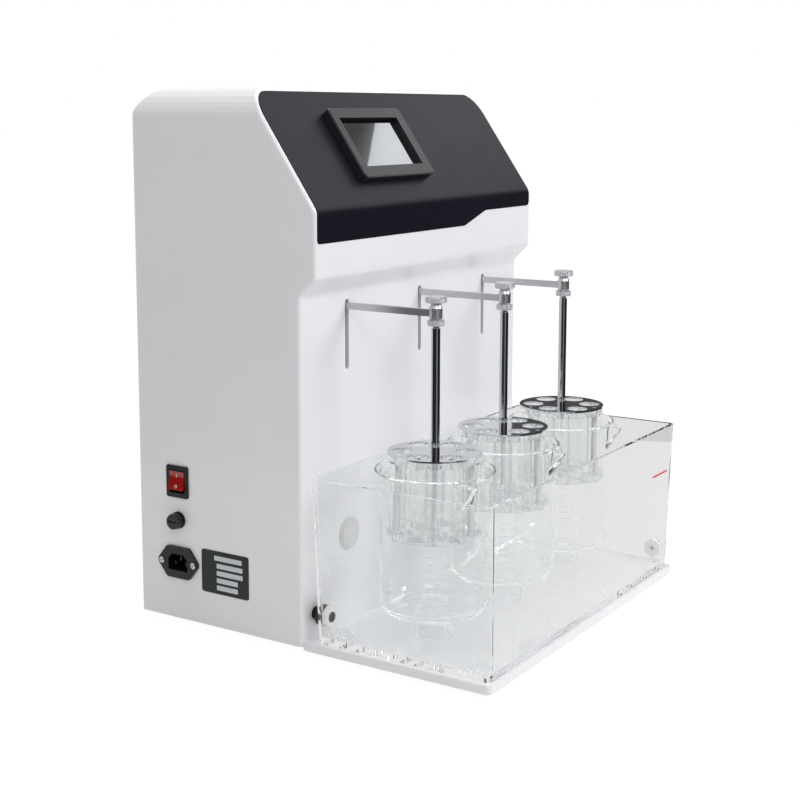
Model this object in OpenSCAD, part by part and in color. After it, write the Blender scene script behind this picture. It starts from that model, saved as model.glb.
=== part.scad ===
// Tablet disintegration tester with three stations.
// Millimetres, +X to the right as the user faces it, +Y to the back, +Z up.
// The floor is Z = 0, and the front face of the lower tower lies at Y = 0.

/* [Housing] */
// Width of the tower
housing_w = 420; // [400:1:460]
// Depth of the lower tower, front face to back
housing_d = 201; // [190:1:240]
// Height of the housing above the base seat
housing_h = 523; // [515:1:560]
// Wall of the moulded housing
wall = 3.5; // [3:0.5:5]
// How far the band stands ahead of the lower front face
band_out = 18; // [10:1:24]
// How far the slope's top edge lies behind the lower front face
slope_back = 59; // [50:1:70]
// Height of the slope's foot above the base seat
slope_foot_h = 412; // [405:1:425]
// Height of the band's lower edge above the base seat
band_foot_h = 350; // [340:1:360]
// Height where the band has run back to the lower front face
waist_h = 332; // [329:1:336]
// Radius between the top and the sides
top_r = 28; // [16:1:34]
// Radius between the front faces and the sides
edge_r = 4; // [2:0.5:6]
// Depth of the rear wall
rear_wall = 5; // [4:0.5:8]
// Thickness of the rear panel
rear_panel_t = 2; // [1:0.5:3]

/* [Base] */
// Reach of the base plate in front of the tower
base_front = 201; // [195:1:230]
// Thickness of the base plate under the tank
base_t = 8; // [6:0.5:12]
// Thickness of the base plate's seat under the tower walls
base_seat = 3; // [2:0.5:4]
// Corner radius of the base plate
base_r = 6; // [3:1:12]
// Height of the rubber feet
foot_h = 6; // [4:1:12]
// Radius of the rubber feet
foot_r = 12; // [8:1:15]
// Distance from the base plate's edges to a foot's centre
foot_inset = 34; // [28:1:50]

/* [Front panel and screen] */
// Gap between the black panel and the housing's sides
panel_inset = 3.5; // [3:0.5:8]
// Thickness of the black panel
panel_t = 2; // [1.5:0.5:3]
// How far the black panel stands out of its recess
panel_proud = 0.4; // [0.2:0.1:1]
// Height of the panel's lower edge on the left, above the base seat
panel_low_h = 382; // [370:1:395]
// How much higher the panel's lower edge lies on the right
panel_step = 14; // [6:1:20]
// Length of the panel along the slope
panel_up = 131; // [125:1:132]
// Radius of the panel's upper corners
panel_r = 22; // [20:0.5:24]
// Width of the screen bezel
bezel_w = 127; // [122:1:150]
// Height of the screen bezel along the slope
bezel_h = 80; // [76:1:96]
// How far the screen bezel stands out of the slope
bezel_out = 10; // [7:0.5:12]
// Offset of the screen from the tower's middle, to the left
screen_left = 52; // [30:1:100]
// Height of the screen's centre along the slope
screen_up = 66; // [58:1:74]
// Width of the screen window
window_w = 103; // [80:1:108]
// Height of the screen window
window_h = 56; // [48:1:60]
// How far the screen window lies to the left of the bezel's middle
window_left = 2; // [0:0.5:2.5]

/* [Stations] */
// How much nearer the stations stand than a third of the tower's width
station_gather = 7; // [5:1:10]
// Distance from the lower front face to the stations' axes
reach = 99; // [95:1:104]
// Height of the arms' centre at the top of the stroke
arm_z = 326; // [322:1:330]
// Stroke of the baskets
stroke = 55; // [53:0.5:57]
// Width of an arm
arm_w = 4.5; // [3:0.5:5]
// Height of an arm
arm_h = 6.5; // [5:0.5:8]
// Radius of an arm's eye
eye_r = 6.2; // [5:0.1:7.5]
// Width of a slot for an arm
slot_w = 6; // [5.5:0.1:8]
// Free height above and below an arm at the ends of its slot
slot_spare = 3.2; // [2:0.1:6]
// Radius of a hanger rod
rod_r = 4.25; // [3.5:0.25:5]
// Radius of a hanger rod's threaded stud
stud_r = 3; // [2:0.25:3.2]
// Radius of a top knob
knob_r = 10; // [8:0.5:12]
// Height of a top knob
knob_h = 5.7; // [4:0.1:9]
// Radius of a lock nut
nut_r = 8; // [6:0.5:9]
// Height of a lock nut
nut_h = 5.5; // [4:0.5:8]

/* [Baskets] */
// Radius of the basket plates
plate_r = 45; // [44:0.5:46]
// Thickness of a clear plate
plate_t = 6; // [5:0.5:8.5]
// Thickness of a steel disc
disc_t = 1.5; // [1:0.1:3]
// Height of a basket's top face at the top of the stroke
basket_top = 196.6; // [194:0.1:200]
// Length of a glass tube
tube_l = 75.5; // [75:0.5:80]
// Outer radius of a glass tube
tube_r = 12.5; // [12:0.1:12.8]
// Wall of a glass tube
tube_wall = 1.75; // [1:0.05:2.5]
// Radius of the circle of tubes
tube_ring_r = 30; // [28:0.5:31]
// Thickness of a wire mesh disc
mesh_t = 1.2; // [0.8:0.1:2]
// Radius of a basket bolt
bolt_r = 2; // [1.5:0.1:2.5]

/* [Water bath] */
// How far the tank's rim lies inside the tower's sides
tank_inset = 1; // [0.5:0.5:6]
// Depth of the tank at its rim
tank_d = 192; // [186:1:192]
// Height of the tank
tank_h = 159; // [150:1:165]
// Wall of the tank
tank_wall = 4; // [3:0.5:6]
// Floor of the tank
tank_floor = 6; // [4:0.5:9]
// Draft of the tank's ends over its height
tank_draft = 6; // [2:0.5:7]
// Gap between the tower and the tank's rim
tank_gap = 8; // [5:0.5:9]
// Radius of the tank's corners
tank_r = 8; // [6:0.5:9]
// Distance from the tower's side to the bath pipe
pipe_inset = 22; // [20:1:24]
// Height of the bath pipe above the base plate
pipe_h = 23; // [21:1:28]
// Height of the grey plug's centre above the base plate
plug_h = 89; // [80:1:100]
// Height of a pedestal under a beaker
pedestal_h = 22; // [16:1:24]
// Radius of a pedestal
pedestal_r = 18.5; // [14:0.5:24]

/* [Beakers] */
// Radius of a beaker's body
beaker_r = 51.5; // [50:0.5:56]
// Height of a beaker
beaker_h = 138; // [132:1:145]
// Wall of a beaker
beaker_wall = 2.2; // [1.5:0.1:3]
// Flare of a beaker's rim
rim_flare = 5.5; // [3:0.5:7]
// Radius round the foot of a beaker
beaker_foot_r = 14; // [8:1:20]
// Reach of a beaker's spout from its axis
spout_reach = 66.5; // [64:0.5:70]

/* [Left side] */
// Distance from the back of the tower to the controls' centre
side_back = 51.5; // [45:0.5:60]
// Height of the switch centre above the base seat
switch_h = 140; // [130:1:160]
// Width and height of the switch bezel
switch_size = [27, 32]; // [24:1:34]
// Angle through which the rocker turns
rocker_throw = 16; // [8:1:20]
// Height of the fuse holder's centre above the base seat
fuse_h = 101; // [95:1:108]
// Radius of the fuse holder's cap
fuse_r = 7.5; // [6:0.5:10]
// How far the fuse cap stands out of the side
fuse_out = 10; // [6:0.5:14]
// Height of the power inlet's centre above the base seat
inlet_h = 58; // [50:1:70]
// Distance between the power inlet's screws
inlet_pitch = 40; // [38:1:44]

/* [Drive] */
// Distance from the lower front face to the guide rods
guide_y = 44; // [42:1:50]
// Distance from the tower's middle to a guide rod
guide_x = 66; // [40:1:90]
// Radius of a guide rod
guide_r = 5; // [4:0.5:6]
// Length of a linear bushing
bushing_l = 29; // [24:1:34]
// Outer radius of a linear bushing
bushing_r = 9.5; // [8:0.5:11]
// Teeth on a pulley
pulley_teeth = 30; // [24:1:34]
// Tooth pitch of the belt
belt_pitch = 3; // [2.5:0.5:3]
// Width of the belt
belt_w = 9; // [6:1:11]
// Thickness of the belt
belt_t = 1.5; // [1:0.1:2]
// Height of the drive pulley's axis
drive_z = 205; // [202:1:212]
// Height of the idler pulley's axis
idler_z = 392; // [385:1:395]
// Side of the motor's square body
motor_side = 57; // [50:1:60]
// Length of the motor's body
motor_l = 76; // [50:1:80]
// Thickness of the drive frame's plates
frame_t = 3; // [2:0.5:5]

/* [Hidden] */
$fn = 64;

run = 0.05;       // radial clearance of a running fit
fit = 0.02;       // radial clearance of a seated piece
clear = 0.3;      // clearance between pieces that move past each other
rest = 0.1;       // gap under a clear piece that rests on another
lap = 1;          // how far a cutter runs past the face it opens

base_z = foot_h;
shell_z = base_z + base_seat;
base_top = base_z + base_t;
top_z = shell_z + housing_h;
half_w = housing_w / 2;
side_proud = fuse_out;
mid_x = side_proud / 2;   // puts the tester's box evenly about X = 0
station_pitch = housing_w / 3 - station_gather;
station_x = [-station_pitch, 0, station_pitch];

// Plane geometry -------------------------------------------------------

function unit(v) = v / norm(v);
function left_of(v) = [-v.y, v.x];
function cross2(a, b) = a.x * b.y - a.y * b.x;
function turned(v, ang) = [v.x * cos(ang) - v.y * sin(ang), v.x * sin(ang) + v.y * cos(ang)];
function item(list, i) = list[(i + len(list)) % len(list)];

// Corner c between p and n, after the edge before it moved left by d1 and the one after it by d2.
function inset_corner(p, c, n, d1, d2) =
    let (a = unit(c - p), b = unit(n - c))
    let (q1 = c + left_of(a) * d1, q2 = c + left_of(b) * d2)
    q1 + a * cross2(q2 - q1, b) / cross2(a, b);

// The corners of a polygon whose edge i, from corner i to the next, moves inwards by d[i].
function inset(pts, d) = [for (i = [0 : len(pts) - 1])
    inset_corner(item(pts, i - 1), pts[i], item(pts, i + 1), item(d, i - 1), d[i])];

// The arc of radius r that rounds corner c between p and n.
function corner_arc(p, c, n, r, steps) =
    let (a = unit(c - p), b = unit(n - c), ang = atan2(cross2(a, b), a * b))
    let (start = c - a * r * tan(abs(ang) / 2), hub = start + left_of(a) * r * sign(ang))
    [for (i = [0 : steps]) hub + turned(start - hub, ang * i / steps)];

function rounded(pts, radii, steps) = [for (i = [0 : len(pts) - 1])
    each (steps[i] == 0 ? [pts[i]]
        : corner_arc(item(pts, i - 1), pts[i], item(pts, i + 1), radii[i], steps[i]))];

// Extrusions and small shapes ------------------------------------------

module along_x(w) { rotate([90, 0, 90]) linear_extrude(w, center = true) children(); }

module along_y(y0, y1) { translate([0, y1, 0]) rotate([90, 0, 0]) linear_extrude(y1 - y0) children(); }

module rod_x(x0, x1, r) { translate([x0, 0, 0]) rotate([0, 90, 0]) cylinder(r = r, h = x1 - x0); }

module rod_y(y0, y1, r) { translate([0, y0, 0]) rotate([-90, 0, 0]) cylinder(r = r, h = y1 - y0); }

module round_square(w, h, r) {
    square([w - 2 * r, h], center = true);
    square([w, h - 2 * r], center = true);
    for (x = [-1, 1], y = [-1, 1]) translate([x * (w / 2 - r), y * (h / 2 - r)]) circle(r);
}

module obround(w, h) {
    square([w, h - w], center = true);
    for (s = [-1, 1]) translate([0, s * (h - w) / 2]) circle(w / 2);
}

module box_between(low, high) { translate(low) cube(high - low); }

module ring(r_out, r_in, h) {
    difference() {
        cylinder(r = r_out, h = h);
        translate([0, 0, -lap]) cylinder(r = r_in, h = h + 2 * lap);
    }
}

// A knurled disc with a bore.
module knurled(r, h, bore, teeth) {
    step = 180 / teeth;
    depth = 0.045 * r;
    difference() {
        union() {
            translate([0, 0, h * 0.12])
                linear_extrude(h * 0.76)
                    polygon([for (i = [0 : 2 * teeth - 1])
                        turned([r - depth * (i % 2), 0], i * step)]);
            cylinder(r = r - 2 * depth, h = h);
        }
        translate([0, 0, -lap]) cylinder(r = bore, h = h + 2 * lap);
    }
}

// Screw with its head's underside at Z = 0 and its shank below.
module pan_screw(r, shank) {
    head_h = 1.1 * r;
    difference() {
        union() {
            cylinder(r = 1.95 * r, h = 0.6 * head_h);
            translate([0, 0, 0.6 * head_h]) cylinder(r1 = 1.95 * r, r2 = 1.3 * r, h = 0.4 * head_h);
            translate([0, 0, -shank]) cylinder(r = r, h = shank);
        }
        for (a = [0, 90]) rotate(a) translate([0, 0, head_h])
            cube([2 * r, 0.4 * r, head_h], center = true);
    }
}

// Housing --------------------------------------------------------------

// Side outline of the housing, anticlockwise in (Y, Z).
side_pts = [[0, shell_z], [housing_d, shell_z], [housing_d, top_z], [slope_back, top_z],
    [-band_out, shell_z + slope_foot_h], [-band_out, shell_z + band_foot_h], [0, shell_z + waist_h]];
rear_r = 26;
fold_r = 14;
side_radii = [0, 0, rear_r, 5, fold_r, 8, 10];
side_steps = [0, 0, 8, 3, 5, 4, 4];

// How far an edge of radius r has fallen away at a distance q from its side face.
function fall(r, q) = q >= r ? 0 : r - sqrt(r * r - (r - q) * (r - q));

// The outline with its floor, back, top and front moved inwards.
function section(floor_in, back_in, top_in, front_in) =
    let (moved = inset(side_pts, [floor_in, back_in, top_in, front_in, front_in, front_in, front_in]))
    let (radii = [0, 0, max(rear_r - max(top_in, back_in), 1), side_radii[3],
        max(fold_r - front_in, 1), max(side_radii[5] - front_in, 1), side_radii[6] + front_in])
    rounded(moved, radii, side_steps);

// Distances from the side face at which the rounded edges are sampled.
function edge_stations(small, large) = concat(
    [for (a = [0 : 30 : 90]) small * (1 - cos(a))],
    [for (a = [45 : 15 : 90]) if (large * (1 - cos(a)) > small) large * (1 - cos(a))]);

// Section point that every other one can be seen from, at the foot of the rear rounding.
hub = 2;

module housing_loft(w, small, large, floor_in, back_in, skin) {
    q = edge_stations(small, large);
    n = len(q);
    x = concat([for (i = [0 : n - 1]) q[i] - w / 2], [for (i = [n - 1 : -1 : 0]) w / 2 - q[i]]);
    d = concat(q, [for (i = [n - 1 : -1 : 0]) q[i]]);
    rings = [for (v = d) section(floor_in, back_in + fall(small, v), skin + fall(large, v),
        skin + fall(small, v))];
    m = len(rings[0]);
    pts = [for (i = [0 : 2 * n - 1]) each [for (p = rings[i]) [x[i], p.x, p.y]]];
    sides = [for (i = [0 : 2 * n - 2], j = [0 : m - 1])
        let (a = i * m + j, b = i * m + (j + 1) % m) each [[a, a + m, b + m], [a, b + m, b]]];
    last = (2 * n - 1) * m;
    caps = [for (j = [1 : m - 2])
        let (a = (hub + j) % m, b = (hub + j + 1) % m) each [[hub, a, b], [last + b, last + a, last + hub]]];
    polyhedron(points = pts, faces = concat(sides, caps));
}

bezel_lap = 5;           // how far the bezel covers the housing round its cut
screen_cut = [bezel_w - 2 * bezel_lap, bezel_h - 2 * bezel_lap];
slope_ang = atan2(housing_h - slope_foot_h, slope_back + band_out);
slope_foot = [-band_out, shell_z + slope_foot_h];

// Local frame on the slope: Y runs up the slope and Z out of it.
module on_slope(x, up, out) {
    translate([x, slope_foot.x, slope_foot.y])
        rotate([slope_ang, 0, 0])
            translate([0, up, out]) children();
}

rear_edge = 12;          // rear wall left beside the panel
rear_lip = 6;            // width of the lip that the panel is screwed to
rear_low = base_top + 8; // lower edge of the rear panel
rear_high = top_z - 40;
rear_screw_r = 1.5;
rear_screw_inset = rear_edge + rear_lip / 2;
rear_screws = [for (x = [-1, 1], i = [0 : 3])
    [x * (half_w - rear_screw_inset), rear_low + 3 + i * (rear_high - rear_low - 6) / 3]];
rear_span = [2 * (half_w - rear_edge), rear_high - rear_low];

slot_top = arm_z + arm_h / 2 + slot_spare;
slot_bottom = arm_z - stroke - arm_h / 2 - slot_spare;
side_y = housing_d - side_back;
switch_z = shell_z + switch_h;
fuse_z = shell_z + fuse_h;
inlet_z = shell_z + inlet_h;
switch_cut = switch_size - [5, 4];
inlet_cut = [29, 22];
inlet_screw_r = 1.6;
fuse_neck_r = fuse_r - 1.8;

// Bath connection through the tower's front wall.
bath_x = pipe_inset - half_w;
bath_z = base_top + pipe_h;
pipe_r = 5;
port_x = station_x[0];
port_z = base_top + plug_h;
port_r = 15.5;

module housing_shell() {
    color("whitesmoke")
        difference() {
            housing_loft(housing_w, edge_r, top_r, 0, 0, 0);
            housing_loft(housing_w - 2 * wall, 1, top_r - wall, -lap, rear_wall, wall);
            panel_solid(clear, panel_t - panel_proud, lap);
            on_slope(-screen_left, screen_up, 0)
                cube([screen_cut.x, screen_cut.y, 4 * wall], center = true);
            for (x = station_x)
                translate([x, 0, (slot_top + slot_bottom) / 2])
                    along_y(-lap, wall + lap) obround(slot_w, slot_top - slot_bottom);
            rear_opening();
            for (s = rear_screws)
                translate([s.x, 0, s.y])
                    rod_y(housing_d - rear_wall - lap, housing_d, rear_screw_r + fit);
            side_cuts();
            translate([bath_x, 0, bath_z]) rod_y(-lap, wall + lap, pipe_r + 1);
            translate([port_x, 0, port_z]) rod_y(-lap, wall + lap, port_r - 4);
        }
}

module rear_opening() {
    mid_z = (rear_low + rear_high) / 2;
    translate([0, 0, mid_z]) {
        along_y(housing_d - rear_panel_t, housing_d + lap)
            square(rear_span + [2 * clear, 2 * clear], center = true);
        along_y(housing_d - rear_wall - lap, housing_d + lap)
            square(rear_span - [2 * rear_lip, 2 * rear_lip], center = true);
    }
}

module side_cuts() {
    reach_in = wall + 2 * lap;
    translate([-half_w + wall / 2, side_y, switch_z])
        cube([reach_in, switch_cut.x, switch_cut.y], center = true);
    translate([-half_w + wall / 2, side_y, inlet_z])
        cube([reach_in, inlet_cut.x, inlet_cut.y], center = true);
    translate([0, side_y, fuse_z]) rod_x(-half_w - lap, -half_w + wall + lap, fuse_neck_r + fit);
    for (s = [-1, 1])
        translate([0, side_y + s * inlet_pitch / 2, inlet_z])
            rod_x(-half_w - lap, -half_w + wall + lap, inlet_screw_r + fit);
}

// Rear panel with louvre slots.
module rear_panel() {
    louvre = [70, 4];
    louvre_rise = 11;
    mid_z = (rear_low + rear_high) / 2;
    color("gainsboro")
        difference() {
            translate([0, 0, mid_z])
                along_y(housing_d - rear_panel_t, housing_d) square(rear_span, center = true);
            for (x = [-1, 1], z = [rear_low + 60, rear_high - 60], i = [0 : 7])
                translate([x * 95, 0, z + (i - 3.5) * louvre_rise])
                    along_y(housing_d - rear_panel_t - lap, housing_d + lap)
                        rotate(90) obround(louvre.y, louvre.x);
            for (s = rear_screws)
                translate([s.x, 0, s.y])
                    rod_y(housing_d - rear_panel_t - lap, housing_d + lap, rear_screw_r + run);
            for (s = rear_screws)
                translate([s.x, 0, s.y])
                    rod_y(housing_d - 1, housing_d + lap, 2.2 * rear_screw_r);
        }
}

module panel_screws() {
    color("silver") {
        for (s = rear_screws)
            translate([s.x, housing_d - 1, s.y]) rotate([-90, 0, 0])
                flat_screw(rear_screw_r, rear_wall - 1);
        for (s = [-1, 1])
            translate([-half_w - inlet_flange_t, side_y + s * inlet_pitch / 2, inlet_z]) rotate([0, -90, 0])
                pan_screw(inlet_screw_r, inlet_flange_t + wall);
    }
}

// Flat head, so that nothing stands behind the tower.
module flat_screw(r, shank) {
    difference() {
        union() {
            cylinder(r = 2.1 * r, h = 1);
            translate([0, 0, -shank]) cylinder(r = r, h = shank + lap / 2);
        }
        for (a = [0, 90]) rotate(a) translate([0, 0, 1]) cube([2.4 * r, 0.4 * r, 1], center = true);
    }
}

// Front panel and screen -----------------------------------------------

panel_half = half_w - panel_inset;
panel_low = shell_z + panel_low_h;
panel_high = slope_foot.y + panel_up * sin(slope_ang);
step_x = [0.145 * housing_w, 0.252 * housing_w];   // where the lower edge climbs
step_r = 12;

// Front outline of the panel in (X, Z), anticlockwise, grown by g.
function panel_outline(g) = rounded(
    [[-panel_half - g, panel_low - g], [step_x[0] + g / 2, panel_low - g],
        [step_x[1] + g / 2, panel_low + panel_step - g], [panel_half + g, panel_low + panel_step - g],
        [panel_half + g, panel_high + g], [-panel_half - g, panel_high + g]],
    [3 + g, step_r, step_r, 5 + g, panel_r + g, panel_r + g], [3, 4, 4, 4, 8, 8]);

// Bent sheet between out and -depth from the front faces, in (Y, Z).
function sheet_outline(out, depth) =
    let (up = [cos(slope_ang), sin(slope_ang)], low = [-band_out, panel_low - 20])
    let (high = slope_foot + up * (panel_up + 20))
    let (o = inset_corner(high, slope_foot, low, -out, -out))
    let (i = inset_corner(high, slope_foot, low, depth, depth))
    concat(
        [high + left_of(up) * out], corner_arc(high + left_of(up) * out, o, low - [out, 0], fold_r + out, 5),
        [low - [out, 0], low + [depth, 0]],
        corner_arc(low + [depth, 0], i, high - left_of(up) * depth, fold_r - depth, 5),
        [high - left_of(up) * depth]);

module panel_solid(grow, depth, out) {
    intersection() {
        along_x(housing_w) polygon(sheet_outline(out, depth));
        along_y(-band_out - 20, slope_back + 40) polygon(panel_outline(grow));
    }
}

module front_panel() {
    color([0.08, 0.08, 0.1])
        difference() {
            panel_solid(0, panel_t - panel_proud, panel_proud);
            on_slope(-screen_left, screen_up, 0)
                cube([screen_cut.x, screen_cut.y, 4 * panel_t], center = true);
        }
}

glass_t = 3;
bezel_lip = 5;            // the bezel's face above the glass
bezel_chamfer = 1.5;
bezel_r = 4;
glass_top = bezel_out - bezel_lip;

module screen_bezel() {
    color([0.13, 0.13, 0.14])
        on_slope(-screen_left, screen_up, 0)
            difference() {
                hull() {
                    translate([0, 0, panel_proud])
                        linear_extrude(bezel_out - bezel_chamfer - panel_proud)
                            round_square(bezel_w, bezel_h, bezel_r);
                    translate([0, 0, bezel_out - bezel_chamfer])
                        linear_extrude(bezel_chamfer)
                            round_square(bezel_w - bezel_chamfer, bezel_h - bezel_chamfer, bezel_r);
                }
                translate([-window_left, 0, bezel_out / 2])
                    cube([window_w, window_h, 4 * bezel_out], center = true);
                translate([0, 0, glass_top - 10])
                    linear_extrude(10) square([screen_cut.x - 1, screen_cut.y - 1], center = true);
            }
}

module touch_screen() {
    color([0.35, 0.38, 0.42])
        on_slope(-screen_left, screen_up, glass_top - glass_t)
            linear_extrude(glass_t - fit) square([screen_cut.x - 2, screen_cut.y - 2], center = true);
}

module screen_box() {
    box_deep = 32;
    color("dimgray")
        on_slope(-screen_left, screen_up, glass_top - glass_t - box_deep) {
            translate([0, 0, box_deep / 2])
                cube([screen_cut.x - 2, screen_cut.y - 2, box_deep], center = true);
            translate([0, -screen_cut.y / 4, -4]) cube([40, 12, 8], center = true);
        }
}

// Base -----------------------------------------------------------------

inner_half = half_w - wall - clear;

module base_plate() {
    under = 14;   // how far the seat under the tower is set back from the walls
    front_d = base_front;
    color("whitesmoke")
        difference() {
            union() {
                translate([0, -front_d / 2, base_z]) {
                    linear_extrude(base_t - 1.5) round_square(housing_w - 2, front_d, base_r);
                    linear_extrude(base_t - 0.5) round_square(housing_w - 3, front_d - 1, base_r);
                    linear_extrude(base_t) round_square(housing_w - 5, front_d - 3, base_r - 1.5);
                    translate([0, front_d / 2 - base_r, base_t / 2])
                        cube([housing_w - 5, 2 * base_r, base_t], center = true);
                }
                box_between([-half_w + under, -base_r, base_z],
                    [half_w - under, housing_d - under, shell_z]);
                box_between([-inner_half, wall + clear, shell_z - base_seat / 2],
                    [inner_half, housing_d - rear_wall - clear, base_top]);
            }
            for (p = foot_places)
                translate([p.x, p.y, base_z - lap]) cylinder(r = 2 + fit, h = lap + 4);
            for (p = frame_feet)
                translate([p.x, p.y, base_top - 5]) cylinder(r = 2 + fit, h = 5 + lap);
        }
}

foot_places = [for (x = [-1, 1], y = [-base_front + foot_inset, housing_d - foot_inset])
    [x * (half_w - foot_inset), y]];

module feet() {
    color([0.12, 0.12, 0.12])
        for (p = foot_places)
            translate([p.x, p.y, 0]) {
                cylinder(r1 = foot_r - 1, r2 = foot_r, h = foot_h);
                cylinder(r = 2, h = foot_h + 3);
            }
}

// Left side ------------------------------------------------------------

bezel_t = 2;
rocker_size = switch_size - [8, 10];
rocker_r = 34;      // radius of the rocker's hollow face
rocker_pin = 6;     // how deep the rocker's pin lies in the side

module switch_body() {
    deep = 26;
    color([0.1, 0.1, 0.1])
        translate([-half_w, side_y, switch_z])
            difference() {
                union() {
                    rotate([90, 0, -90])
                        linear_extrude(bezel_t) round_square(switch_size.x, switch_size.y, 2);
                    translate([deep / 2 - lap / 2, 0, 0])
                        cube([deep + lap, switch_cut.x - 2 * fit, switch_cut.y - 2 * fit], center = true);
                    for (z = [-1, 1]) translate([deep + 4, 0, z * 7]) cube([10, 6.3, 0.8], center = true);
                }
                translate([-bezel_t - lap, -rocker_size.x / 2 - clear, -rocker_size.y / 2 - clear])
                    cube([bezel_t + lap + 16, rocker_size.x + 2 * clear, rocker_size.y + 2 * clear]);
                translate([rocker_pin, 0, 0]) rotate([90, 0, 0])
                    cylinder(r = 1.5 + run, h = switch_cut.x + 4, center = true);
            }
}

// Rocker on its own pin, tipped to one side.
module rocker() {
    half = rocker_size.y / 2 - 1.5;
    color([0.75, 0.08, 0.06])
        translate([-half_w + rocker_pin, side_y, switch_z])
            rotate([0, rocker_throw / 2, 0])
                union() {
                    rotate([90, 0, 0])
                        linear_extrude(rocker_size.x - 2 * clear, center = true)
                            difference() {
                                polygon([[-11, -half], [-11, half], [-2, half - 2], [3, 3], [3, -3],
                                    [-2, 2 - half]]);
                                translate([-rocker_r - 8.8, 0]) circle(rocker_r, $fn = 128);
                            }
                    rotate([90, 0, 0]) cylinder(r = 1.5, h = switch_cut.x - 0.6, center = true);
                }
}

module fuse_holder() {
    deep = 30;
    color([0.1, 0.1, 0.1])
        translate([0, side_y, fuse_z])
            difference() {
                union() {
                    rod_x(-half_w - 2, -half_w, fuse_r + 1);
                    rod_x(-half_w - lap, -half_w + deep, fuse_neck_r);
                    translate([-half_w + wall, 0, 0])
                        rotate([0, 90, 0]) cylinder(r = fuse_r + 1, h = 4, $fn = 6);
                }
                rod_x(-half_w - 3, -half_w + deep - 2, fuse_neck_r - 1.5);
            }
}

// Bayonet cap with a coin slot.
module fuse_cap() {
    color([0.06, 0.06, 0.06])
        translate([0, side_y, fuse_z])
            difference() {
                union() {
                    rod_x(-half_w - fuse_out, -half_w - 2 - clear, fuse_r);
                    for (a = [0 : 30 : 330])
                        rotate([a, 0, 0]) translate([0, fuse_r - 0.3, 0])
                            rod_x(-half_w - fuse_out + 1.5, -half_w - 3, 0.8);
                    rod_x(-half_w - 2.5, -half_w + 20, fuse_neck_r - 1.5 - run);
                }
                translate([-half_w - fuse_out, 0, 0]) cube([3, 10, 1.6], center = true);
            }
}

inlet_flange_t = 3;
inlet_flange = [inlet_pitch + 10, 32];
socket = [24.5, 16.5];

module power_inlet() {
    deep = 24;
    color([0.08, 0.08, 0.08])
        translate([-half_w, side_y, inlet_z])
            difference() {
                union() {
                    rotate([90, 0, -90]) linear_extrude(inlet_flange_t) inlet_outline();
                    translate([deep / 2 - lap / 2, 0, 0])
                        cube([deep + lap, inlet_cut.x - 2 * fit, inlet_cut.y - 2 * fit], center = true);
                    for (y = [-7, 0, 7]) translate([deep + 4, y, 0]) cube([10, 0.8, 6.3], center = true);
                }
                difference() {
                    translate([-inlet_flange_t - lap, 0, 0]) rotate([90, 0, 90])
                        linear_extrude(inlet_flange_t + lap + 16) socket_outline();
                    for (p = [[-7, -2], [0, 3], [7, -2]])
                        translate([9, p.x, p.y]) cube([14, 2, 4], center = true);
                }
                for (s = [-1, 1])
                    translate([0, s * inlet_pitch / 2, 0])
                        rod_x(-inlet_flange_t - lap, lap, inlet_screw_r + fit);
            }
}

// Long hexagon, pointed to both sides, with the points cut to a short flat.
module inlet_outline() {
    far = inlet_flange / 2;
    flat = 2;
    side = 14;
    polygon(rounded([[-far.x, -flat], [-side, -far.y], [side, -far.y], [far.x, -flat], [far.x, flat],
        [side, far.y], [-side, far.y], [-far.x, flat]],
        [4, 4, 4, 4, 4, 4, 4, 4], [3, 3, 3, 3, 3, 3, 3, 3]));
}

module socket_outline() {
    chamfer = 5;
    w = socket.x / 2;
    h = socket.y / 2;
    polygon([[-w, -h], [w, -h], [w, h - chamfer], [w - chamfer, h], [chamfer - w, h], [-w, h - chamfer]]);
}

// Electronics ----------------------------------------------------------

supply_gap = 7;          // air round the power supply

module power_supply() {
    size = [half_w - wall - frame_half - 2 * supply_gap, 0.45 * housing_d, 32];
    low = [frame_half + supply_gap, housing_d - rear_wall - supply_gap - size.y, base_top];
    color("silver")
        translate(low)
            difference() {
                cube(size);
                translate([-lap, -lap, 12]) cube([size.x + 2 * lap, 14, size.z]);
                for (i = [0 : 7], j = [0 : 4])
                    translate([14 + i * 10, 26 + j * 12, size.z - 1.5]) cylinder(r = 2.5, h = 3, $fn = 24);
            }
}

// Drive ----------------------------------------------------------------

pulley_pitch_r = pulley_teeth * belt_pitch / (2 * PI);
tooth_r = pulley_pitch_r - 0.4;
belt_in_r = tooth_r + clear;
flange_r = belt_in_r + belt_t + 1;
belt_y = guide_y + 24;
pulley_half = belt_w / 2 + 0.4;
flange_t = 1;
frame_front = belt_y + pulley_half + flange_t + 5;
frame_back = frame_front + frame_t;
frame_half = guide_x + 28;
motor_bolt = 47.1 / 2;
shelf_low = drive_z - motor_side / 2 - 2;
shelf_high = idler_z + flange_r + 12;
motor_shaft_r = 3.175;
motor_pilot_r = 19;
axle_r = 4;
frame_feet = [for (x = [-1, 1], s = [0.45, 0.9]) [x * frame_half * s, frame_back + 20]];

module frame_slab(y0, y1, z0, z1) { box_between([-frame_half, y0, z0], [frame_half, y1, z1]); }

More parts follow.
